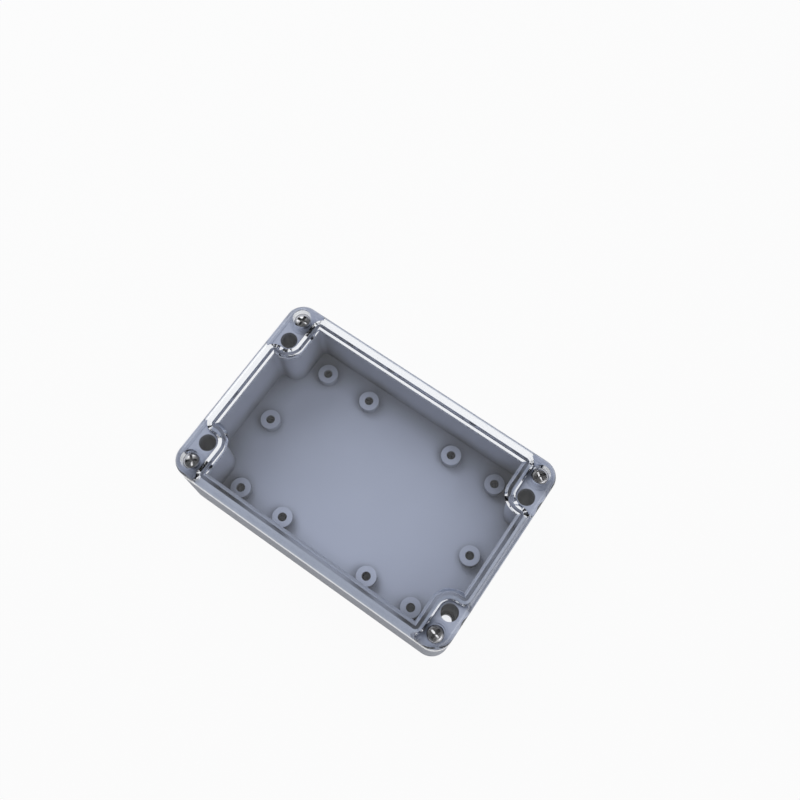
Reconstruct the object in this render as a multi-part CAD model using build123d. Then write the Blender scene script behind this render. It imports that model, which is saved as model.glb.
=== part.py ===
from build123d import *
import os

# Wall-mounting electronics enclosure: a grey moulded base, a clear lid with its seal,
# four captive lid screws with retaining rings, and four brass inserts.
# Millimetres, +Z up, origin at the middle of the underside, X along the long side.

os.makedirs("parts", exist_ok=True)

# Outside of the box
length = 120.0
width = 80.0
base_height = 30.0
lid_height = 7.0
corner_radius = 7.0
bottom_edge = 1.0
lid_edge_radius = 2.0
draft_angle = 0.25

# Walls and floor of the base
rim_wall = 2.8
floor_thickness = 3.0
opening_corner_radius = 2.0

# Mounting holes inside the corner bosses, entered from the rim
mount_inset_x = 6.0
mount_inset_y = 15.0
boss_radius = 5.5
mount_hole_radius = 2.25
mount_head_radius = 3.25
mount_seat_height = 4.5

# Stand-offs on the floor for a circuit board or a rail
standoff_radius = 4.0
standoff_height = 4.0
pilot_radius = 1.75
pilot_depth = 5.0
row_inset = 11.0
outer_pair_inset = 19.5
inner_pair_spacing = 40.0
end_pair_inset = 12.0

# Raised tongue on the rim, and the seal above it
tongue_width = 1.3
tongue_height = 1.3
seal_width = 1.0

# Top plate of the lid, its locating lip, and the sloped channel outside the lip
plate_thickness = 2.5
cove_width = 1.1
cove_height = 0.75
lip_clearance = 0.25
lip_thickness = 1.3
lip_reach = 0.3
channel_depth = 3.0
channel_reach = 2.4
slope_width = 2.55
slope_height = 1.75

# Cored corners of the lid: outer wall, foot of the channel's wall and the column round each screw
corner_wall = 1.4
channel_wall = 0.45
column_wall = 1.4

# Lid screws, their holes and the threaded inserts under them
screw_inset_x = 6.0
screw_inset_y = 6.0
head_radius = 3.1
head_height = 2.2
head_bevel = 0.6
recess_radius = 3.6
screw_web = 2.6
lid_hole_radius = 2.2
thread_radius = 1.95
thread_length = 6.6
neck_radius = 1.5
cross_depth = 1.3
cross_width = 0.9
cross_length = 3.4
ring_outer_radius = 2.7
ring_thickness = 1.2
ring_clearance = 0.05
insert_radius = 2.9
insert_length = 6.0
insert_depth = 8.0
thread_clearance = 0.05
tip_room = 2.0
tip_reach = 0.5

# Heights that follow
rim = base_height
top = base_height + lid_height
plate_underside = top - plate_thickness
lip_bottom = rim - lip_reach
channel_roof = rim + channel_depth
tongue_top = rim + tongue_height
seal_reach = seal_width - lip_clearance
seal_top = channel_roof - (seal_reach - channel_reach + slope_width) * slope_height / slope_width
head_seat = rim + screw_web
insert_top = rim - insert_depth
insert_bottom = insert_top - insert_length
screw_tip = insert_bottom - tip_reach
thread_top = screw_tip + thread_length
ring_top = thread_top + ring_thickness
standoff_top = floor_thickness + standoff_height

corners = [(1, 1), (-1, 1), (-1, -1), (1, -1)]
mount_x = length / 2 - mount_inset_x
mount_y = width / 2 - mount_inset_y
screw_x = length / 2 - screw_inset_x
screw_y = width / 2 - screw_inset_y


def cross_plan(grow):
    """Plan between the walls and round the bosses, grown all round, with sharp corners at the walls."""
    wall_x = length / 2 - rim_wall + grow
    wall_y = width / 2 - rim_wall + grow
    boss_x = mount_x - boss_radius + grow
    boss_y = mount_y - boss_radius + grow
    plan = Rectangle(2 * wall_x, 2 * boss_y) + Rectangle(2 * boss_x, 2 * wall_y)
    at_boss = [v for v in plan.vertices() if abs(abs(v.X) - boss_x) + abs(abs(v.Y) - boss_y) < 0.01]
    return fillet(at_boss, boss_radius - grow)


def opening(grow):
    """Plan of the base's opening at the rim, grown all round: the cross with its corners rounded."""
    wall_x = length / 2 - rim_wall + grow
    wall_y = width / 2 - rim_wall + grow
    plan = cross_plan(grow)
    at_wall = [v for v in plan.vertices() if abs(v.X) > wall_x - 0.01 or abs(v.Y) > wall_y - 0.01]
    return fillet(at_wall, opening_corner_radius + grow)


def block(plan, low, high):
    """A plan raised to a straight-sided solid between two heights."""
    return extrude(Pos(0, 0, low) * plan, high - low)


def drafted(plan, high, low):
    """A plan carried down from one height to a lower one, closing in by the draft of the mould."""
    return Pos(0, 0, high) * Rot(180, 0, 0) * extrude(plan, high - low, taper=draft_angle)


def round_bar(radius, low, high, x=0.0, y=0.0):
    """An upright cylinder between two heights."""
    return Pos(x, y, low) * extrude(Circle(radius), high - low)


def turned(points):
    """A solid of revolution about Z from its half section, given as (radius, height) points."""
    return revolve(make_face(Plane.XZ * Polyline(*points, close=True)), Axis.Z)


def tube(outer, inner, low, high):
    """An upright ring on Z between two heights."""
    return round_bar(outer, low, high) - round_bar(inner, low, high)


def at_height(edges, height):
    """The edges that lie level at one height."""
    return [e for e in edges if abs(e.bounding_box().min.Z - height) + abs(e.bounding_box().max.Z - height) < 0.01]


def sloped(solid, height, across, down):
    """The solid with the edges at one height cut back to a slope, so far across its top and so far down."""
    face = [f for f in solid.faces() if abs(f.center().Z - height) < 0.01][0]
    return chamfer(at_height(solid.edges(), height), length=across, length2=down, reference=face)


def standoff_places():
    """The ten stand-offs: two rows of four along the long walls, and one at the middle of each end."""
    row = width / 2 - row_inset
    outer = length / 2 - outer_pair_inset
    inner = inner_pair_spacing / 2
    end = length / 2 - end_pair_inset
    rows = [(sx * x, sy * row) for x in (outer, inner) for sx, sy in corners]
    return rows + [(end, 0), (-end, 0)]


def base_shell():
    """The moulded base: tray with corner bosses, stand-offs and the tongue round the rim."""
    shell = drafted(RectangleRounded(length, width, corner_radius), rim, 0)
    shell = chamfer(at_height(shell.edges(), 0), bottom_edge)
    shell -= block(opening(0), floor_thickness, rim)
    shell += block(opening(tongue_width) - opening(0), rim, tongue_top)
    for x, y in standoff_places():
        shell += round_bar(standoff_radius, floor_thickness / 2, standoff_top, x, y)
        shell -= round_bar(pilot_radius, standoff_top - pilot_depth, standoff_top, x, y)
    for sx, sy in corners:
        x, y = sx * mount_x, sy * mount_y
        shell -= round_bar(mount_hole_radius, 0, mount_seat_height, x, y)
        shell -= round_bar(mount_head_radius, mount_seat_height, rim, x, y)
        x, y = sx * screw_x, sy * screw_y
        shell -= round_bar(insert_radius, insert_bottom - tip_room, rim, x, y)
    return shell


def corner_pockets():
    """Plan of the hollows that thin the lid's corners, beside the screw columns and outside the seal's channel."""
    outline = RectangleRounded(
        length - 2 * corner_wall,
        width - 2 * corner_wall,
        corner_radius - corner_wall,
    )
    columns = [
        Pos(sx * screw_x, sy * screw_y) * Circle(recess_radius + column_wall)
        for sx, sy in corners
    ]
    return outline - opening(channel_reach + channel_wall) - columns


def channel():
    """The hollow over the rim, outside the locating lip: its outer side slopes from the roof to the mouth."""
    hollow = block(opening(channel_reach), rim, channel_roof)
    hollow = sloped(hollow, channel_roof, slope_width, slope_height)
    return hollow - block(opening(-lip_clearance), rim, channel_roof)


def lid():
    """The clear lid: plate, cored corners with screw recesses, channel for the seal, locating lip inside it."""
    inside = cross_plan(-lip_clearance - lip_thickness)
    hollow = sloped(block(inside, rim, plate_underside), plate_underside, cove_width, cove_height)
    cover = block(RectangleRounded(length, width, corner_radius), rim, top)
    cover = fillet(at_height(cover.edges(), top), lid_edge_radius)
    cover -= hollow
    cover -= channel()
    cover -= block(corner_pockets(), rim, plate_underside)
    cover += block(opening(-lip_clearance) - inside, lip_bottom, rim)
    for sx, sy in corners:
        x, y = sx * screw_x, sy * screw_y
        cover -= round_bar(recess_radius, head_seat, top, x, y)
        cover -= round_bar(lid_hole_radius, rim, head_seat, x, y)
    return cover


def gasket():
    """The seal: a closed strip against the lip, held between the tongue and the slope of the channel."""
    return block(opening(seal_reach) - opening(-lip_clearance), tongue_top, seal_top)


def lid_screw():
    """Pan-head screw on its axis: bevelled head with a cross recess, thin neck and threaded end."""
    head_top = head_seat + head_height
    screw = turned(
        [
            (0, head_top),
            (head_radius - head_bevel, head_top),
            (head_radius, head_top - head_bevel),
            (head_radius, head_seat),
            (neck_radius, head_seat),
            (neck_radius, thread_top),
            (thread_radius, thread_top),
            (thread_radius, screw_tip),
            (0, screw_tip),
        ]
    )
    bar = Rectangle(cross_length, cross_width)
    return screw - block(bar + Rot(0, 0, 90) * bar, head_top - cross_depth, head_top)


def screw_retainer():
    """Retaining ring that rests on the thread's shoulder and stops the screw leaving the lid."""
    return tube(ring_outer_radius, neck_radius + ring_clearance, thread_top, ring_top)


def threaded_insert():
    """Brass insert, pressed in its bore and open right through."""
    return tube(insert_radius, thread_radius + thread_clearance, insert_bottom, insert_top)


def write(node, solid):
    """Writes one piece to its own file."""
    export_step(solid, f"parts/{node}.step")


write("base_shell", base_shell())
write("lid", lid())
write("gasket", gasket())
for piece, shape in [
    ("lid_screw", lid_screw()),
    ("screw_retainer", screw_retainer()),
    ("threaded_insert", threaded_insert()),
]:
    for number, (sx, sy) in enumerate(corners, start=1):
        write(f"{piece}_{number}", Pos(sx * screw_x, sy * screw_y, 0) * shape)
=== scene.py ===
"""Looks of a wall-mounting electronics enclosure with a clear lid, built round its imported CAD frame.

Lengths are metres in the frame of the CAD model: origin at the middle of the underside, X along the
long side, Z up out of the lid.
"""

import math

import bmesh
import bpy
import numpy as np
from mathutils import Matrix, Vector


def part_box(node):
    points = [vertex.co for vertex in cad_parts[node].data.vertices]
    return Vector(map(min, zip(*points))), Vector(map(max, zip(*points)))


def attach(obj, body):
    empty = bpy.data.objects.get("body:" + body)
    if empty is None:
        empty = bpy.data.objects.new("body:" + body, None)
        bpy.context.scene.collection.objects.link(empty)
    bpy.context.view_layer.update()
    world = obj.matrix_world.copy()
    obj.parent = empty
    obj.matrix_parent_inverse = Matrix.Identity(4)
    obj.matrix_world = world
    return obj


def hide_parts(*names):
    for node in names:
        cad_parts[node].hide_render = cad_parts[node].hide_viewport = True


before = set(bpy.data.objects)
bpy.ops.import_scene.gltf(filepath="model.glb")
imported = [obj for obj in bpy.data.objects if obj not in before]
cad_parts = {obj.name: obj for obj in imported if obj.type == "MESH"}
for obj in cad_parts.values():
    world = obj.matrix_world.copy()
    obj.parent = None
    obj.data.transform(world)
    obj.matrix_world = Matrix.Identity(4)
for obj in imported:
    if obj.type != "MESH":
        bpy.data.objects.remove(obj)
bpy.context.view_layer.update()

bl_info = {
    "name": "Clear-lid enclosure",
    "version": (1, 0, 0),
    "blender": (4, 5, 0),
    "location": "3D View > Sidebar > Enclosure",
    "description": "Finishes a moulded electronics enclosure: clear lid, captive screws, brass inserts",
    "category": "Object",
}

MM = 0.001
CORNERS = (1, 2, 3, 4)
WHITE = (1.0, 1.0, 1.0, 1.0)
LAMP_PLACES = {"key": (-0.65, 0.35, 0.7), "fill": (0.6, 0.0, 0.85)}
LAMP_SIDE = 0.6
# Points nearer than this are one point.
WELD = 0.0001 * MM
# How far a cutting solid stands out of what it cuts.
PAST = 1 * MM
# Points on each quarter circle of the lid's plan.
ARC_POINTS = 17


# Colours and nodes

def linear(hex_colour):
    """Scene-linear red, green, blue and alpha of an sRGB hex colour."""
    parts = [int(hex_colour[i : i + 2], 16) / 255 for i in (1, 3, 5)]
    return tuple(c / 12.92 if c <= 0.04045 else ((c + 0.055) / 1.055) ** 2.4 for c in parts) + (1.0,)


def add_node(tree, kind, inputs=None, **settings):
    """Adds a node, sets its own settings, and fills inputs with values or links from other nodes' outputs."""
    node = tree.nodes.new(kind)
    for name, value in settings.items():
        setattr(node, name, value)
    for name, value in (inputs or {}).items():
        if isinstance(value, bpy.types.NodeSocket):
            tree.links.new(value, node.inputs[name])
        else:
            node.inputs[name].default_value = value
    return node


def new_material(name):
    """An empty node material and its tree, with the output node in place."""
    material = bpy.data.materials.new(name)
    material.use_nodes = True
    tree = material.node_tree
    tree.nodes.clear()
    add_node(tree, "ShaderNodeOutputMaterial")
    return material, tree


def close_material(tree, shader):
    """Links a shader to the material's surface."""
    tree.links.new(shader, tree.nodes["Material Output"].inputs["Surface"])


def per_metre(size_mm):
    """Noise scale on metre coordinates at which one grain measures size_mm."""
    return 1 / (size_mm * MM)


def soft_variation(tree, coords, grain_mm, dark, light):
    """Colour that drifts between two shades over patches of grain_mm."""
    noise = add_node(
        tree, "ShaderNodeTexNoise", {"Vector": coords, "Scale": per_metre(grain_mm), "Detail": 2.0}
    )
    drift = add_node(
        tree, "ShaderNodeMix", {"Factor": noise.outputs["Fac"], "A": dark, "B": light}, data_type="RGBA"
    )
    return drift.outputs["Result"]


def any_ray(tree, *kinds):
    """1 for a ray of one of the kinds, which are named as the outputs of Light Path are, else 0."""
    path = add_node(tree, "ShaderNodeLightPath")
    found = path.outputs[kinds[0]]
    for kind in kinds[1:]:
        either = {0: found, 1: path.outputs[kind]}
        found = add_node(tree, "ShaderNodeMath", either, operation="MAXIMUM").outputs[0]
    return found


# Materials, each named for the real one

def grey_abs(look):
    """Light grey ABS from a spark-eroded mould: nearly matt, with an even grain that softens highlights."""
    material, tree = new_material("Grey ABS, spark-eroded")
    coords = add_node(tree, "ShaderNodeTexCoord").outputs["Object"]
    shades = soft_variation(tree, coords, 45.0, look.base_dark, look.base_light)
    # Painted shade: holes and inner corners are darkened within 14 mm toward a near-black painted shade
    # colour, by ambient occlusion of the base alone.
    hollow = add_node(tree, "ShaderNodeAmbientOcclusion", {"Distance": 14 * MM}, samples=12, only_local=True)
    openness = add_node(
        tree, "ShaderNodeMapRange", {"Value": hollow.outputs["AO"], "From Min": 0.06, "From Max": 0.86}
    )
    base_with_painted_shade = add_node(
        tree,
        "ShaderNodeMix",
        {"Factor": openness.outputs["Result"], "A": look.base_painted_shade, "B": shades},
        data_type="RGBA",
    )
    # The real grain is 0.05 mm; it is drawn four times as coarse so that it shows.
    grain = add_node(tree, "ShaderNodeTexNoise", {"Vector": coords, "Scale": per_metre(0.2), "Detail": 3.0})
    soft_edge = add_node(tree, "ShaderNodeBevel", {"Radius": look.edge_softness}, samples=4)
    bump = add_node(
        tree,
        "ShaderNodeBump",
        {
            "Height": grain.outputs["Fac"],
            "Strength": 0.25,
            "Distance": 0.02 * MM,
            "Normal": soft_edge.outputs[0],
        },
    )
    plastic = add_node(
        tree,
        "ShaderNodeBsdfPrincipled",
        {
            "Base Color": base_with_painted_shade.outputs["Result"],
            "Roughness": 0.6,
            "IOR": 1.53,
            "Specular IOR Level": 0.25,
            "Normal": bump.outputs[0],
        },
    )
    close_material(tree, plastic.outputs[0])
    return material


def clear_polycarbonate(look):
    """Polished clear polycarbonate: strong refraction, crisp edges, a trace of cool tint in thick places."""
    material, tree = new_material("Clear polycarbonate, polished")
    coords = add_node(tree, "ShaderNodeTexCoord").outputs["Object"]
    # Flow waves left by moulding, about 14 mm apart, drawn deeper than the real ones so that they show.
    flow = add_node(tree, "ShaderNodeTexNoise", {"Vector": coords, "Scale": per_metre(14.0), "Detail": 1.0})
    bump = add_node(
        tree, "ShaderNodeBump", {"Height": flow.outputs["Fac"], "Strength": 0.3, "Distance": 0.03 * MM}
    )
    glass = add_node(
        tree,
        "ShaderNodeBsdfPrincipled",
        {
            "Base Color": look.lid_tint,
            "Roughness": 0.015,
            "IOR": 1.585,
            "Transmission Weight": 1.0,
            "Normal": bump.outputs[0],
        },
    )
    # Light on its way to the parts inside passes straight through, as the thin lid lets it.
    inward = any_ray(tree, "Is Shadow Ray", "Is Diffuse Ray")
    passing = add_node(tree, "ShaderNodeBsdfTransparent", {"Color": look.lid_shade})
    both = add_node(
        tree, "ShaderNodeMixShader", {"Fac": inward, 1: glass.outputs[0], 2: passing.outputs[0]}
    )
    close_material(tree, both.outputs[0])
    return material


def stainless_steel(look):
    """Bright stainless steel, turned then tumbled: mirror-like with faint rings round the axis."""
    material, tree = new_material("Stainless steel, turned")
    along = add_node(tree, "ShaderNodeUVMap", uv_map="turning").outputs[0]
    # The real tool marks are 0.04 mm apart; they are drawn twice as coarse so that they show.
    rings = add_node(tree, "ShaderNodeTexNoise", {"Vector": along, "Scale": per_metre(0.08), "Detail": 2.0})
    bump = add_node(
        tree, "ShaderNodeBump", {"Height": rings.outputs["Fac"], "Strength": 0.12, "Distance": 0.01 * MM}
    )
    # Painted shade: the cross recess and the gap round the head are darkened within 2.5 mm toward a dark
    # painted shade colour, by ambient occlusion.
    open_sky = add_node(tree, "ShaderNodeAmbientOcclusion", {"Distance": 2.5 * MM}, samples=12).outputs["AO"]
    unshaded_share = add_node(tree, "ShaderNodeMapRange", {"Value": open_sky, "From Min": 0.15, "From Max": 0.6})
    shades = add_node(
        tree,
        "ShaderNodeMix",
        {"Factor": unshaded_share.outputs["Result"], "A": look.steel_painted_shade, "B": look.steel},
        data_type="RGBA",
    )
    metal = add_node(
        tree,
        "ShaderNodeBsdfPrincipled",
        {
            "Base Color": shades.outputs["Result"],
            "Metallic": 1.0,
            "Roughness": 0.2,
            "Normal": bump.outputs[0],
        },
    )
    close_material(tree, metal.outputs[0])
    return material


def turned_brass(look):
    """Free-cutting brass: yellow, with a satin sheen from the knurling tool."""
    material, tree = new_material("Brass, knurled")
    coords = add_node(tree, "ShaderNodeTexCoord").outputs["Object"]
    shades = soft_variation(tree, coords, 1.5, look.brass_dark, look.brass_light)
    metal = add_node(
        tree, "ShaderNodeBsdfPrincipled", {"Base Color": shades, "Metallic": 1.0, "Roughness": 0.3}
    )
    close_material(tree, metal.outputs[0])
    return material


def foamed_seal(look):
    """Foamed polyurethane seal: soft, matt, with a skin of fine closed cells."""
    material, tree = new_material("Polyurethane foam, skinned")
    coords = add_node(tree, "ShaderNodeTexCoord").outputs["Object"]
    # Cells of 0.3 mm.
    cells = add_node(tree, "ShaderNodeTexVoronoi", {"Vector": coords, "Scale": per_metre(0.3)})
    bump = add_node(
        tree, "ShaderNodeBump", {"Height": cells.outputs["Distance"], "Strength": 0.4, "Distance": 0.05 * MM}
    )
    shades = soft_variation(tree, coords, 6.0, look.seal_dark, look.seal_light)
    foam = add_node(
        tree, "ShaderNodeBsdfPrincipled", {"Base Color": shades, "Roughness": 0.7, "Normal": bump.outputs[0]}
    )
    close_material(tree, foam.outputs[0])
    return material


def natural_nylon(look):
    """Unfilled nylon: milky, a little waxy, and lit from within by light that enters it."""
    material, tree = new_material("Natural nylon, moulded")
    coords = add_node(tree, "ShaderNodeTexCoord").outputs["Object"]
    shades = soft_variation(tree, coords, 3.0, look.nylon_dark, look.nylon_light)
    nylon = add_node(
        tree,
        "ShaderNodeBsdfPrincipled",
        {"Base Color": shades, "Roughness": 0.4, "Subsurface Weight": 0.3, "Subsurface Scale": 0.5 * MM},
    )
    close_material(tree, nylon.outputs[0])
    return material


def studio_white(look):
    """Pale seamless floor that keeps the object's soft shadow and is white to the camera, metal and glass."""
    material, tree = new_material("Studio floor, seamless white")
    coords = add_node(tree, "ShaderNodeTexCoord").outputs["Object"]
    shades = soft_variation(tree, coords, 400.0, look.floor_dark, look.floor_light)
    paper = add_node(tree, "ShaderNodeBsdfDiffuse", {"Color": shades})
    glow = add_node(tree, "ShaderNodeEmission", {"Strength": 1.0})
    seen = any_ray(tree, "Is Camera Ray", "Is Glossy Ray", "Is Transmission Ray")
    share = add_node(tree, "ShaderNodeMath", {0: seen, 1: look.floor_glow}, operation="MULTIPLY")
    both = add_node(
        tree, "ShaderNodeMixShader", {"Fac": share.outputs[0], 1: paper.outputs[0], 2: glow.outputs[0]}
    )
    close_material(tree, both.outputs[0])
    return material


# Meshes

def grid_faces(rows, columns, wrap_rows=False, wrap_columns=True):
    """Quads of a grid of rows by columns whose points are numbered row by row."""
    row = np.arange(rows if wrap_rows else rows - 1)
    column = np.arange(columns if wrap_columns else columns - 1)
    i, j = np.meshgrid(row, column, indexing="ij")
    next_i = (i + 1) % rows
    next_j = (j + 1) % columns
    corners = (i * columns + j, i * columns + next_j, next_i * columns + next_j, next_i * columns + j)
    return np.stack(corners, axis=-1).reshape(-1, 4)


def new_object(name, points, faces, material, smooth_angle=35.0):
    """A mesh object from arrays of points and faces, with its poles merged and its normals outward."""
    mesh = bpy.data.meshes.new(name)
    mesh.from_pydata(points.reshape(-1, 3).tolist(), [], faces.tolist())
    shape = bmesh.new()
    shape.from_mesh(mesh)
    bmesh.ops.remove_doubles(shape, verts=shape.verts, dist=WELD)
    bmesh.ops.recalc_face_normals(shape, faces=shape.faces)
    shape.to_mesh(mesh)
    shape.free()
    smooth(mesh, smooth_angle)
    mesh.materials.append(material)
    obj = bpy.data.objects.new(name, mesh)
    bpy.context.scene.collection.objects.link(obj)
    return obj


def smooth(mesh, angle):
    """Smooth shading, with sharp edges where faces meet at more than an angle in degrees."""
    mesh.shade_smooth()
    mesh.set_sharp_from_angle(angle=math.radians(angle))


def paint_turning(obj, centre):
    """UV map of a turned piece: distance from its axis, and height, in metres."""
    mesh = obj.data
    layer = mesh.uv_layers.new(name="turning")
    at = np.empty(len(mesh.vertices) * 3)
    mesh.vertices.foreach_get("co", at)
    at = at.reshape(-1, 3) - np.array(centre)
    corner = np.empty(len(mesh.loops), dtype=np.int32)
    mesh.loops.foreach_get("vertex_index", corner)
    uv = np.stack([np.hypot(at[:, 0], at[:, 1]), at[:, 2]], axis=-1)[corner]
    layer.data.foreach_set("uv", uv.ravel().astype(np.float32))


def stacked(loops, heights, axis=(0.0, 0.0)):
    """Grid of a closed upright solid: loops at their heights round an axis, with a pole at each end."""
    rows = [np.column_stack([loop, np.full(len(loop), z)]) for loop, z in zip(loops, heights)]
    first = rows[0] * [0, 0, 1] + [*axis, 0]
    last = rows[-1] * [0, 0, 1] + [*axis, 0]
    return np.stack([first, *rows, last])


def combine(body, tool, operation):
    """Joins a closed object to the body, or cuts it out of the body, and removes that object."""
    step = body.modifiers.new("step", "BOOLEAN")
    step.object = tool
    step.operation = operation
    step.solver = "EXACT"
    depsgraph = bpy.context.evaluated_depsgraph_get()
    before = body.data
    body.data = bpy.data.meshes.new_from_object(body.evaluated_get(depsgraph))
    body.modifiers.clear()
    bpy.data.meshes.remove(before)
    tool_mesh = tool.data
    bpy.data.objects.remove(tool)
    bpy.data.meshes.remove(tool_mesh)


def closed_object(name, points, material, wrap_rows=False):
    """An object from a grid that closes on itself."""
    return new_object(name, points, grid_faces(*points.shape[:2], wrap_rows=wrap_rows), material)


def dress_node(name, material):
    """Gives a CAD node's mesh its material."""
    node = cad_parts[name]
    node.data.materials.clear()
    node.data.materials.append(material)


# Sizes and colours that a user may change

def length(label, default_mm, text):
    """A length property in metres whose default is given in millimetres."""
    return bpy.props.FloatProperty(
        name=label, description=text, default=default_mm * MM, min=0.0, unit="LENGTH"
    )


def angle(label, default_degrees, text):
    """An angle property whose default is given in degrees."""
    return bpy.props.FloatProperty(
        name=label, description=text, default=math.radians(default_degrees), subtype="ANGLE"
    )


def brightness(label, default, text):
    """A property for how strong a light is, never negative."""
    return bpy.props.FloatProperty(name=label, description=text, default=default, min=0.0)


def colour(label, hex_colour, text):
    """A colour property whose default is an sRGB hex value."""
    return bpy.props.FloatVectorProperty(
        name=label, description=text, subtype="COLOR", size=4, min=0.0, max=1.0, default=linear(hex_colour)
    )


class EnclosureColours(bpy.types.PropertyGroup):
    """Colours and finishes of the pieces and of the studio."""

    base_dark: colour("Base, darker", "#B9BCC6", "Darker shade of the grey base")
    base_light: colour("Base, lighter", "#C2C5CF", "Lighter shade of the grey base")
    # Painted shade: the near-black colour that the base takes deep in its holes and inner corners.
    base_painted_shade: colour("Base, holes", "#0C0D10", "Shade of the grey base deep in its holes")
    edge_softness: length("Edge softness", 0.25, "Radius that the mould leaves on the base's edges")
    lid_tint: colour("Lid tint", "#F6F8FC", "Tint of the clear lid")
    lid_shade: colour("Lid shade", "#EEF1F7", "Light that the lid lets through to the inside")
    steel: colour("Screw steel", "#CDCDD0", "Colour of the screws")
    # Painted shade: the dark colour that the screws take in their recesses and gaps.
    steel_painted_shade: colour("Screw steel, dull", "#1E1F22", "Colour of the screws in their recesses and gaps")
    brass_dark: colour("Brass, darker", "#A9843F", "Darker shade of the inserts")
    brass_light: colour("Brass, lighter", "#C9A55C", "Lighter shade of the inserts")
    seal_dark: colour("Seal, darker", "#A9ADB6", "Darker shade of the seal")
    seal_light: colour("Seal, lighter", "#B9BDC6", "Lighter shade of the seal")
    nylon_dark: colour("Nylon, darker", "#D2D0C8", "Darker shade of the retaining rings")
    nylon_light: colour("Nylon, lighter", "#E2E0D8", "Lighter shade of the retaining rings")
    floor_dark: colour("Floor, darker", "#A2A4A8", "Darker shade of the studio floor")
    floor_light: colour("Floor, lighter", "#ACAEB1", "Lighter shade of the studio floor")
    floor_glow: bpy.props.FloatProperty(
        name="Floor whiteness",
        description="Share of plain white in what the camera sees of the floor",
        default=0.95,
        min=0.0,
        max=1.0,
        subtype="FACTOR",
    )


class EnclosureLid(bpy.types.PropertyGroup):
    """Sizes of the clear lid."""

    corner_radius: length("Corner radius", 7.0, "Radius of the outline's corners")
    edge_radius: length("Edge radius", 2.0, "Radius of the top edge")
    plate_thickness: length("Plate thickness", 2.5, "Thickness of the top plate")
    cove_width: length("Cove width", 1.1, "Width of the slope where the plate meets the lip")
    cove_height: length("Cove height", 0.75, "Height of that slope")
    rim_wall: length("Rim wall", 2.8, "Wall of the base at the rim")
    opening_corner: length("Opening corner", 2.0, "Radius of the opening's corners at the walls")
    mount_inset_x: length("Mounting hole inset X", 6.0, "From the short side to the mounting hole's axis")
    mount_inset_y: length("Mounting hole inset Y", 15.0, "From the long side to the mounting hole's axis")
    boss_radius: length("Boss radius", 5.5, "Radius of the boss round a mounting hole")
    lip_clearance: length("Lip clearance", 0.25, "Room between the lip and the base's wall")
    lip_thickness: length("Lip thickness", 1.3, "Thickness of the locating lip")
    lip_reach: length("Lip reach", 0.3, "How far the lip goes below the rim")
    channel_depth: length("Channel depth", 3.0, "Height of the channel over the rim")
    channel_reach: length("Channel reach", 2.4, "From the opening to the channel's mouth, along the walls")
    boss_reach: length("Boss reach", 1.4, "From the opening to the channel's mouth, round the bosses")
    wall_foot: length("Wall foot", 0.45, "Width of the foot outside the channel's mouth, along the walls")
    boss_foot: length("Boss foot", 0.45, "Width of the foot outside the channel's mouth, round the bosses")
    slope_width: length("Slope width", 2.55, "Width of the channel's slope")
    slope_height: length("Slope height", 1.75, "Height of the channel's slope")
    corner_relief: length("Corner relief", 0.3, "Gap between the rim and a corner, inside the feet")
    corner_foot: length("Corner foot", 1.4, "Width of the foot along the outside of a corner")
    column_radius: length("Column radius", 5.0, "Radius of the foot round a screw")
    recess_radius: length("Recess radius", 3.6, "Radius of the recess for a screw's head")
    hole_radius: length("Hole radius", 2.2, "Radius of the hole for a screw")
    screw_web: length("Screw web", 2.6, "Thickness under a screw's head")


class EnclosureScrew(bpy.types.PropertyGroup):
    """Sizes of the captive lid screws."""

    head_radius: length("Head radius", 3.1, "Radius of the pan head")
    head_height: length("Head height", 2.2, "Height of the pan head")
    head_crown: length("Head crown", 0.45, "Drop from the middle of the head to its side")
    neck_radius: length("Neck radius", 1.5, "Radius of the thin neck")
    thread_radius: length("Thread radius", 1.95, "Radius over the thread")
    thread_depth: length("Thread depth", 0.35, "Depth of the thread")
    thread_pitch: length("Thread pitch", 0.7, "Rise of the thread in one turn")
    thread_length: length("Thread length", 6.6, "Length of the threaded end")
    recess_depth: length("Recess depth", 1.5, "Depth of the cross recess")
    recess_length: length("Recess length", 4.2, "Length of each bar of the cross")
    recess_width: length("Recess width", 1.1, "Width of each bar of the cross")
    recess_slope: length("Recess slope", 0.18, "How far the recess walls lean in")


class EnclosureInsert(bpy.types.PropertyGroup):
    """Sizes of the brass inserts."""

    outer_radius: length("Outer radius", 2.9, "Radius over the knurling")
    knurl_depth: length("Knurl depth", 0.22, "Depth of the knurling")
    groove_width: length("Groove width", 1.2, "Width of the plain groove between the knurled bands")
    groove_depth: length("Groove depth", 0.4, "Depth of that groove")
    bore_radius: length("Bore radius", 2.0, "Radius of the threaded bore")
    thread_pitch: length("Thread pitch", 0.7, "Rise of the bore's thread in one turn")
    thread_depth: length("Thread depth", 0.2, "Depth of the bore's thread")


class EnclosureStudio(bpy.types.PropertyGroup):
    """The photograph's view and the studio round the enclosure."""

    azimuth: angle("Azimuth", 34.82, "Turn of the camera round the object")
    elevation: angle("Elevation", 70.85, "Height of the camera above level")
    distance: length("Distance", 378.46, "From the camera to the point that it aims at")
    aim: bpy.props.FloatVectorProperty(
        name="Aim",
        description="Point at floor level that the camera aims at",
        size=2,
        default=(-11.49 * MM, 38.78 * MM),
        unit="LENGTH",
    )
    lens: bpy.props.FloatProperty(
        name="Lens", description="Focal length in millimetres", default=41.07, min=1.0
    )
    floor_size: length("Floor size", 3000.0, "Side of the studio floor")
    key_strength: brightness("Key light", 6.4, "Power of the key lamp in watts")
    fill_strength: brightness("Fill light", 3.0, "Power of the fill lamp in watts")
    sky_strength: brightness("Sky", 0.32, "Strength of the even light")
    ceiling: brightness("Ceiling", 0.12, "Brightness overhead that metal and gloss reflect")
    discs: brightness("Soft discs", 2.2, "Brightness toward the lamps that metal and gloss reflect")


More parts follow.
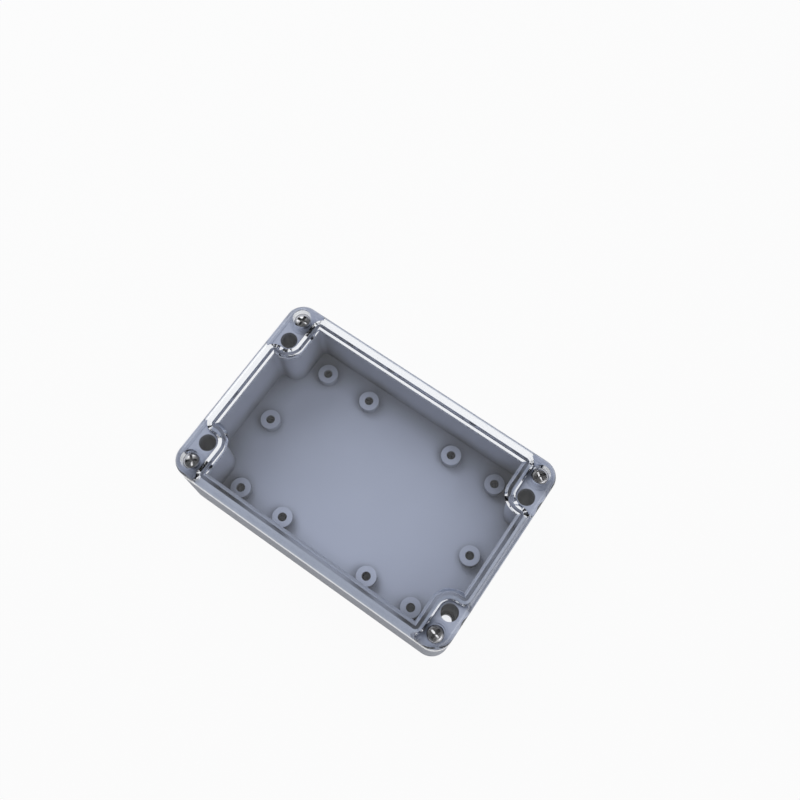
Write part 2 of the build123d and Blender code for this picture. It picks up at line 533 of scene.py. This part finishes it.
# Pieces

class ENCLOSURE_OT_base(bpy.types.Operator):
    """Finish the grey moulded base"""

    bl_idname = "enclosure.base"
    bl_label = "Finish base"

    def execute(self, context):
        dress_node("base_shell", grey_abs(context.scene.enclosure_colours))
        return {"FINISHED"}


def cross_loop(size, half, wall_grow, boss_grow, sharp=False):
    """Loop round the base's opening, grown by one distance at the walls and another at the bosses.

    A quarter runs from the middle of the short wall round the wall's corner, back round the boss and
    round the next wall's corner to the middle of the long wall. Its three quarter circles are centre plus
    radius times the cosine and sine of the angle, taken from the other side on the boss. The other
    quarters mirror it. Also returned is each point's share of boss, which goes from 0 at the walls to 1
    at the bosses.
    """
    wall_x, wall_y = half - size.rim_wall + wall_grow
    boss_x, boss_y = half - [size.mount_inset_x, size.mount_inset_y] - size.boss_radius + boss_grow
    corner = 0.0 if sharp else size.opening_corner + wall_grow
    boss = size.boss_radius - boss_grow
    along = np.linspace(0, 1, ARC_POINTS)
    arc = np.stack([np.cos(along * math.pi / 2), np.sin(along * math.pi / 2)], axis=-1)
    quarter = np.concatenate(
        [
            [[wall_x, 0]],
            np.array([wall_x - corner, boss_y - corner]) + corner * arc,
            np.array([boss_x + boss, boss_y + boss]) - boss * arc[:, ::-1],
            np.array([boss_x - corner, wall_y - corner]) + corner * arc,
            [[0, wall_y]],
        ]
    )
    share = np.concatenate([[0], along, np.ones(along.size), 1 - along, [0]])
    mirrored = quarter[::-1] * [-1, 1]
    loop = np.concatenate([quarter, mirrored[1:], -quarter[1:], -mirrored[1:-1]])
    shares = np.concatenate([share, share[-2::-1], share[1:], share[-2:0:-1]])
    return loop, shares


def rounded_loop(half, inset, radius):
    """Loop of a rectangle set in all round, whose corners are quarter circles about fixed centres."""
    along = np.linspace(0, math.pi / 2, ARC_POINTS)
    arc = np.stack([np.cos(along), np.sin(along)], axis=-1)
    quarter = half - radius + (radius - inset) * arc
    mirrored = quarter[::-1] * [-1, 1]
    return np.concatenate([quarter, mirrored, -quarter, -mirrored])


def round_loop(radius, centre, steps=64):
    """Loop of a circle."""
    angle = np.linspace(0, 2 * math.pi, steps, endpoint=False)
    return np.array(centre) + radius * np.stack([np.cos(angle), np.sin(angle)], axis=-1)


def lid_body(size, half, rim, top):
    """Grid of the lid's outside: straight sides, and a top edge that is a quarter circle of insets."""
    angle = np.linspace(0, math.pi / 2, 13)
    insets = [0.0, *(size.edge_radius * (1 - np.cos(angle)))]
    heights = [rim, *(top - size.edge_radius * (1 - np.sin(angle)))]
    return stacked([rounded_loop(half, inset, size.corner_radius) for inset in insets], heights)


def lid_lip(size, half, bottom, rim):
    """Grid of the locating lip, still solid, from its bottom to a little above the rim."""
    lip = cross_loop(size, half, -size.lip_clearance, -size.lip_clearance)[0]
    return stacked([lip, lip], [bottom, rim + PAST])


def lid_hollow(size, half, rim, top):
    """Grid of the hollow inside the lip, with a slope under the plate."""
    roof = top - size.plate_thickness
    grow = -size.lip_clearance - size.lip_thickness
    sides = cross_loop(size, half, grow, grow, sharp=True)[0]
    upper = cross_loop(size, half, grow - size.cove_width, grow - size.cove_width, sharp=True)[0]
    return stacked([sides, sides, upper], [rim - PAST, roof - size.cove_height, roof])


def lid_channel(size, half, rim):
    """Grid of the channel: a profile carried round the opening, which reaches less far at the bosses.

    It starts a hundredth of a millimetre out from the lip's face and a tenth below the rim, so that no face
    of the cut lies in a face of the lid.
    """
    off_lip = 0.01 * MM
    below_rim = 0.1 * MM
    roof = rim + size.channel_depth
    slope = size.slope_height / size.slope_width
    inner_grow = off_lip - size.lip_clearance
    upper_grow = size.channel_reach - size.slope_width
    inner = cross_loop(size, half, inner_grow, inner_grow)[0]
    upper = cross_loop(size, half, upper_grow, upper_grow)[0]
    mouth, share = cross_loop(size, half, size.channel_reach, size.boss_reach)
    reach = size.channel_reach + (size.boss_reach - size.channel_reach) * share
    mouth_z = roof - slope * (reach - upper_grow)
    low = np.full(len(mouth), rim - below_rim)
    high = np.full(len(mouth), roof)
    loops = ((inner, low), (inner, high), (upper, high), (mouth, mouth_z), (mouth, low))
    return np.stack([np.column_stack([loop, z]) for loop, z in loops])


def lid_bore(size, rim, top, axis):
    """Grid of one screw's way through the lid: its hole, and the recess for its head."""
    hole = round_loop(size.hole_radius, axis)
    recess = round_loop(size.recess_radius, axis)
    seat = rim + size.screw_web
    return stacked([hole, hole, recess, recess], [rim - PAST, seat, seat, top + PAST], axis)


def lid_corner_gap(size, half, rim, top, axes, material):
    """Object of the shallow gap under the lid's corners. It leaves feet along the outside and the channel and
    round the screws."""
    outline = rounded_loop(half, size.corner_foot, size.corner_radius)
    outline_grid = stacked([outline, outline], [rim - PAST, rim + size.corner_relief])
    gap = closed_object("gap", outline_grid, material)
    middle = cross_loop(size, half, size.channel_reach + size.wall_foot, size.boss_reach + size.boss_foot)[0]
    middle_grid = stacked([middle, middle], [rim - 2 * PAST, top])
    combine(gap, closed_object("middle", middle_grid, material), "DIFFERENCE")
    for axis in axes:
        column = round_loop(size.column_radius, axis)
        column_grid = stacked([column, column], [rim - 3 * PAST, top + PAST], axis)
        combine(gap, closed_object("column", column_grid, material), "DIFFERENCE")
    return gap


class ENCLOSURE_OT_lid(bpy.types.Operator):
    """Make the clear lid"""

    bl_idname = "enclosure.lid"
    bl_label = "Make lid"

    def execute(self, context):
        size = context.scene.enclosure_lid
        low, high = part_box("lid")
        half = np.array([high.x, high.y])
        rim = low.z + size.lip_reach
        top = high.z
        material = clear_polycarbonate(context.scene.enclosure_colours)

        screws = [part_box(f"lid_screw_{number}") for number in CORNERS]
        axes = [((first.x + last.x) / 2, (first.y + last.y) / 2) for first, last in screws]

        lid = closed_object("clear_lid", lid_body(size, half, rim, top), material)
        combine(lid, closed_object("lip", lid_lip(size, half, low.z, rim), material), "UNION")
        combine(lid, closed_object("hollow", lid_hollow(size, half, rim, top), material), "DIFFERENCE")
        channel = closed_object("channel", lid_channel(size, half, rim), material, wrap_rows=True)
        combine(lid, channel, "DIFFERENCE")
        for axis in axes:
            combine(lid, closed_object("bore", lid_bore(size, rim, top, axis), material), "DIFFERENCE")
        combine(lid, lid_corner_gap(size, half, rim, top, axes, material), "DIFFERENCE")
        smooth(lid.data, 25.0)
        lid.modifiers.new("flat faces", "WEIGHTED_NORMAL").keep_sharp = True
        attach(lid, "lid")
        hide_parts("lid")
        return {"FINISHED"}


class ENCLOSURE_OT_seal(bpy.types.Operator):
    """Finish the seal in the lid's channel"""

    bl_idname = "enclosure.seal"
    bl_label = "Finish seal"

    def execute(self, context):
        dress_node("gasket", foamed_seal(context.scene.enclosure_colours))
        return {"FINISHED"}


class ENCLOSURE_OT_retainers(bpy.types.Operator):
    """Finish the rings that keep the screws in the lid"""

    bl_idname = "enclosure.retainers"
    bl_label = "Finish retaining rings"

    def execute(self, context):
        material = natural_nylon(context.scene.enclosure_colours)
        for number in CORNERS:
            dress_node(f"screw_retainer_{number}", material)
        return {"FINISHED"}


def screw_surface(size, low, high):
    """Points of one screw on its axis, as rings of equal length from the tip to the middle of the head.

    Rings below the head are circles; on the thread their radius falls and rises with the distance, up or
    round, to the nearest crest. On the head each eighth of a ring has its points at fixed shares of the
    angle inside and outside the cross bar's edge, whose angle is the arc sine of half the bar's width over
    the radius, so that edge stays sharp. The crown is part of an ellipse. Inside the cross it drops by a
    depth that falls off towards the bars' ends.
    """
    neck = size.neck_radius
    head = size.head_radius
    head_seat = high - size.head_height
    crown_start = high - size.head_crown
    thread_top = low + size.thread_length
    root = size.thread_radius - size.thread_depth
    tip = 0.5 * MM
    run_out = 0.2 * MM
    bevel = 0.15 * MM
    thread_z = np.linspace(low + tip, thread_top - run_out, 58)
    thread_r = np.full(thread_z.size, size.thread_radius)
    shank_z = [thread_top, thread_top, head_seat, head_seat, head_seat + bevel, crown_start]
    shank_r = [root, neck, neck, head - bevel, head, head]

    # The crown's rings lie close together at the ends of the bars and at the corners of the cross.
    half = size.recess_width / 2
    reach = size.recess_length / 2
    inner = half * math.sqrt(2)
    lean = size.recess_slope
    outer = np.linspace(0.985 * head, reach + lean, 5)
    arm = np.linspace(reach - lean, inner + lean, 7)
    crown_r = np.concatenate([outer, [reach], arm, [inner, inner - lean, inner / 2, 0]])
    crown_z = crown_start + size.head_crown * np.sqrt(np.clip(1 - (crown_r / head) ** 2, 0, 1))
    z = np.concatenate([[low, low], thread_z, shank_z, crown_z])
    radius = np.concatenate([[0, size.thread_radius - tip], thread_r, shank_r, crown_r])
    on_crown = np.arange(z.size) >= z.size - crown_r.size

    safe = np.maximum(radius, half)
    edge = np.where(radius > inner, np.arcsin(half / safe), math.pi / 4)
    # Each side wall of a bar leans in over less than half of the bar's own angle.
    wall = np.minimum(0.45 * edge, lean / safe)
    inside = np.array([0.0, 0.5, 1.0])
    beyond = np.array([0.0, 0.35, 0.7, 1.0])
    within = inside * (edge - wall)[:, None]
    without = edge[:, None] + beyond * (math.pi / 4 - edge)[:, None]
    shares = np.concatenate([within, without], axis=1)
    sunk = np.array([1, 1, 1, 0, 0, 0, 0], dtype=float)
    octants = []
    sinks = []
    for eighth in range(8):
        turn = eighth * math.pi / 4
        if eighth % 2:
            octants.append(turn + math.pi / 4 - shares[:, :0:-1])
            sinks.append(sunk[:0:-1])
        else:
            octants.append(turn + shares[:, :-1])
            sinks.append(sunk[:-1])
    angle = np.concatenate(octants, axis=1)
    sink = np.concatenate(sinks)[None, :]

    # The bars are 45 per cent shallower at their ends.
    depth = size.recess_depth * (1 - 0.45 * radius / reach)
    wholly = (radius < inner - lean / 2) & on_crown
    partly = (radius < reach - lean / 2) & on_crown
    drop = np.where(wholly[:, None], depth[:, None], np.where(partly[:, None], depth[:, None] * sink, 0.0))

    # The thread's wave is cut off above and below, which leaves flat crests and roots.
    crest = np.abs(((z[:, None] - low) / size.thread_pitch - angle / (2 * math.pi)) % 1.0 - 0.5) * 2
    groove = size.thread_depth * np.clip(1.25 * crest - 0.12, 0, 1)
    threaded = (z >= thread_z[0]) & (z <= thread_z[-1]) & (radius == size.thread_radius)
    ring = radius[:, None] - np.where(threaded[:, None], groove, 0.0)
    return np.stack([ring * np.cos(angle), ring * np.sin(angle), z[:, None] - drop], axis=-1)


class ENCLOSURE_OT_screws(bpy.types.Operator):
    """Make the four captive lid screws"""

    bl_idname = "enclosure.screws"
    bl_label = "Make screws"

    def execute(self, context):
        size = context.scene.enclosure_screw
        material = stainless_steel(context.scene.enclosure_colours)
        for number in CORNERS:
            low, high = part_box(f"lid_screw_{number}")
            centre = (low + high) / 2
            points = screw_surface(size, low.z, high.z)
            faces = grid_faces(*points.shape[:2])
            # Each screw was driven until it was tight, so each cross points another way.
            stop_degrees = 20 + 37 * number
            turn = Matrix.Rotation(math.radians(stop_degrees), 3, "Z")
            points = points @ np.array(turn).T + np.array([centre.x, centre.y, 0])
            name = f"captive_screw_{number}"
            screw = new_object(name, points, faces, material, smooth_angle=40)
            paint_turning(screw, (centre.x, centre.y, low.z))
            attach(screw, f"screw_{number}")
            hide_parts(f"lid_screw_{number}")
        return {"FINISHED"}


def insert_surface(size, low, high):
    """Points of one insert on its axis: a closed profile carried round it.

    The profile goes up the outside, in over the top, down the bore and out over the bottom. Outside, the
    radius falls by the product of two waves that climb round the axis in opposite directions, which leaves
    diamonds, and by a plain groove at mid height. In the bore it swells with the thread.
    """
    columns = 96
    teeth = 24
    tooth_height = 1.0 * MM
    end_band = 0.25 * MM
    end_step = 0.1 * MM
    angle = np.linspace(0, 2 * math.pi, columns, endpoint=False)[None, :]
    tall = high - low
    up = np.linspace(0, 1, 31)
    outside_z = low + up * tall
    middle = (low + high) / 2
    grooved = np.abs(outside_z - middle) < size.groove_width / 2
    ends = np.minimum(up, 1 - up) * tall < end_band
    lift = (outside_z - low)[:, None] / tooth_height * 2 * math.pi
    diamonds = np.abs(np.sin((teeth * angle + lift) / 2)) * np.abs(np.sin((teeth * angle - lift) / 2))
    outside_r = size.outer_radius - size.knurl_depth * (1 - diamonds)
    outside_r = np.where(grooved[:, None], size.outer_radius - size.groove_depth, outside_r)
    outside_r = np.where(ends[:, None], size.outer_radius - size.knurl_depth - end_step, outside_r)
    down = np.linspace(1, 0, 37)
    bore_z = low + down * tall
    wave = np.abs(((bore_z - low)[:, None] / size.thread_pitch - angle / (2 * math.pi)) % 1.0 - 0.5) * 2
    bore_r = size.bore_radius - size.thread_depth * wave
    r = np.concatenate([outside_r, bore_r])
    z = np.concatenate([outside_z, bore_z])[:, None] + 0 * r
    return np.stack([r * np.cos(angle), r * np.sin(angle), z], axis=-1)


class ENCLOSURE_OT_inserts(bpy.types.Operator):
    """Make the four knurled brass inserts"""

    bl_idname = "enclosure.inserts"
    bl_label = "Make inserts"

    def execute(self, context):
        size = context.scene.enclosure_insert
        material = turned_brass(context.scene.enclosure_colours)
        for number in CORNERS:
            low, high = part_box(f"threaded_insert_{number}")
            centre = (low + high) / 2
            points = insert_surface(size, low.z, high.z)
            faces = grid_faces(*points.shape[:2], wrap_rows=True)
            points = points + np.array([centre.x, centre.y, 0])
            insert = new_object(f"knurled_insert_{number}", points, faces, material)
            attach(insert, "base")
            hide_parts(f"threaded_insert_{number}")
        return {"FINISHED"}


class ENCLOSURE_OT_studio(bpy.types.Operator):
    """Set up the floor, the even light, the lamps and the photograph's view"""

    bl_idname = "enclosure.studio"
    bl_label = "Set up studio"

    def execute(self, context):
        studio = context.scene.enclosure_studio
        self.make_floor(context, studio)
        self.make_sky(context, studio)
        self.make_lamps(context, studio)
        self.make_camera(context, studio)
        context.scene.view_settings.view_transform = "Standard"
        return {"FINISHED"}

    def make_floor(self, context, studio):
        """A flat sheet just under the enclosure, so that it doesn't share a face with it."""
        steps = 9
        drop = 0.05 * MM
        span = np.linspace(-studio.floor_size / 2, studio.floor_size / 2, steps)
        x, y = np.meshgrid(span, span, indexing="ij")
        points = np.stack([x, y, 0 * x - drop], axis=-1)
        faces = grid_faces(steps, steps, wrap_columns=False)
        material = studio_white(context.scene.enclosure_colours)
        floor = new_object("studio_floor", points, faces, material)

    def make_sky(self, context, studio):
        """Even light from all sides. The camera and what shows through the lid see it as white. Metal and
        gloss see white walls and a dim ceiling with two soft white discs toward the lamps, which gives them
        their dark and bright parts."""
        world = bpy.data.worlds.new("Studio sky")
        context.scene.world = world
        world.use_nodes = True
        tree = world.node_tree
        tree.nodes.clear()
        output = add_node(tree, "ShaderNodeOutputWorld")
        direction = add_node(tree, "ShaderNodeTexCoord").outputs["Generated"]
        upward = add_node(tree, "ShaderNodeSeparateXYZ", {"Vector": direction}).outputs["Z"]
        # The walls are white up to 14 degrees above level and fade into the ceiling at 37.
        ceiling = add_node(
            tree,
            "ShaderNodeMapRange",
            {"Value": upward, "From Min": 0.25, "From Max": 0.6, "To Min": 1.0, "To Max": studio.ceiling},
        )
        mirrored = ceiling.outputs["Result"]
        for place in LAMP_PLACES.values():
            toward = Vector(place).normalized()
            near = add_node(tree, "ShaderNodeVectorMath", {0: direction, 1: toward}, operation="DOT_PRODUCT")
            # A disc is whole up to 16 degrees from the lamp's direction and gone at 23.
            disc = add_node(
                tree,
                "ShaderNodeMapRange",
                {"Value": near.outputs["Value"], "From Min": 0.92, "From Max": 0.96, "To Max": studio.discs},
            )
            both = {0: mirrored, 1: disc.outputs["Result"]}
            mirrored = add_node(tree, "ShaderNodeMath", both, operation="MAXIMUM").outputs[0]
        glossy = add_node(
            tree,
            "ShaderNodeMix",
            {"Factor": any_ray(tree, "Is Glossy Ray"), "A": studio.sky_strength, "B": mirrored},
            data_type="FLOAT",
        )
        straight = any_ray(tree, "Is Camera Ray", "Is Transmission Ray")
        strength = add_node(
            tree,
            "ShaderNodeMix",
            {"Factor": straight, "A": glossy.outputs["Result"], "B": 1.0},
            data_type="FLOAT",
        )
        sky = add_node(tree, "ShaderNodeBackground", {"Color": WHITE, "Strength": strength.outputs["Result"]})
        tree.links.new(sky.outputs[0], output.inputs["Surface"])

    def make_lamps(self, context, studio):
        """A large key lamp beyond the left end and a weaker fill above the right one. They light the
        enclosure but don't mirror in its lid."""
        powers = {"key": studio.key_strength, "fill": studio.fill_strength}
        for name, place in LAMP_PLACES.items():
            data = bpy.data.lights.new(f"{name}_lamp", "AREA")
            data.size = LAMP_SIDE
            data.energy = powers[name]
            lamp = bpy.data.objects.new(f"{name}_lamp", data)
            lamp.location = place
            lamp.rotation_euler = (-Vector(place)).to_track_quat("-Z", "Y").to_euler()
            lamp.visible_glossy = False
            lamp.visible_transmission = False
            context.scene.collection.objects.link(lamp)

    def make_camera(self, context, studio):
        """The camera stands off its aim point by the distance, at the photograph's azimuth and elevation."""
        data = bpy.data.cameras.new("photo_view")
        data.sensor_width = 36
        data.lens = studio.lens
        data.clip_start = 0.01
        camera = bpy.data.objects.new("photo_view", data)
        level = math.cos(studio.elevation)
        back = Vector(
            (math.sin(studio.azimuth) * level, -math.cos(studio.azimuth) * level, math.sin(studio.elevation))
        )
        camera.location = Vector((*studio.aim, 0)) + studio.distance * back
        camera.rotation_euler = (-back).to_track_quat("-Z", "Y").to_euler()
        context.scene.collection.objects.link(camera)
        context.scene.camera = camera


class ENCLOSURE_PT_panel(bpy.types.Panel):
    """Buttons for the pieces and the studio"""

    bl_idname = "ENCLOSURE_PT_panel"
    bl_label = "Enclosure"
    bl_space_type = "VIEW_3D"
    bl_region_type = "UI"
    bl_category = "Enclosure"

    def draw(self, context):
        for operator in OPERATORS:
            self.layout.operator(operator.bl_idname)
        for name, group in GROUPS.items():
            box = self.layout.box()
            for item in group.__annotations__:
                box.prop(getattr(context.scene, name), item)


GROUPS = {
    "enclosure_colours": EnclosureColours,
    "enclosure_lid": EnclosureLid,
    "enclosure_screw": EnclosureScrew,
    "enclosure_insert": EnclosureInsert,
    "enclosure_studio": EnclosureStudio,
}
OPERATORS = (
    ENCLOSURE_OT_base,
    ENCLOSURE_OT_lid,
    ENCLOSURE_OT_seal,
    ENCLOSURE_OT_retainers,
    ENCLOSURE_OT_screws,
    ENCLOSURE_OT_inserts,
    ENCLOSURE_OT_studio,
)


def register():
    for group in GROUPS.values():
        bpy.utils.register_class(group)
    for operator in OPERATORS:
        bpy.utils.register_class(operator)
    bpy.utils.register_class(ENCLOSURE_PT_panel)
    for name, group in GROUPS.items():
        setattr(bpy.types.Scene, name, bpy.props.PointerProperty(type=group))


def unregister():
    for name in GROUPS:
        delattr(bpy.types.Scene, name)
    bpy.utils.unregister_class(ENCLOSURE_PT_panel)
    for operator in OPERATORS:
        bpy.utils.unregister_class(operator)
    for group in GROUPS.values():
        bpy.utils.unregister_class(group)


def main():
    register()
    bpy.ops.enclosure.base()
    bpy.ops.enclosure.lid()
    bpy.ops.enclosure.seal()
    bpy.ops.enclosure.retainers()
    bpy.ops.enclosure.screws()
    bpy.ops.enclosure.inserts()
    bpy.ops.enclosure.studio()


if __name__ == "__main__":
    main()
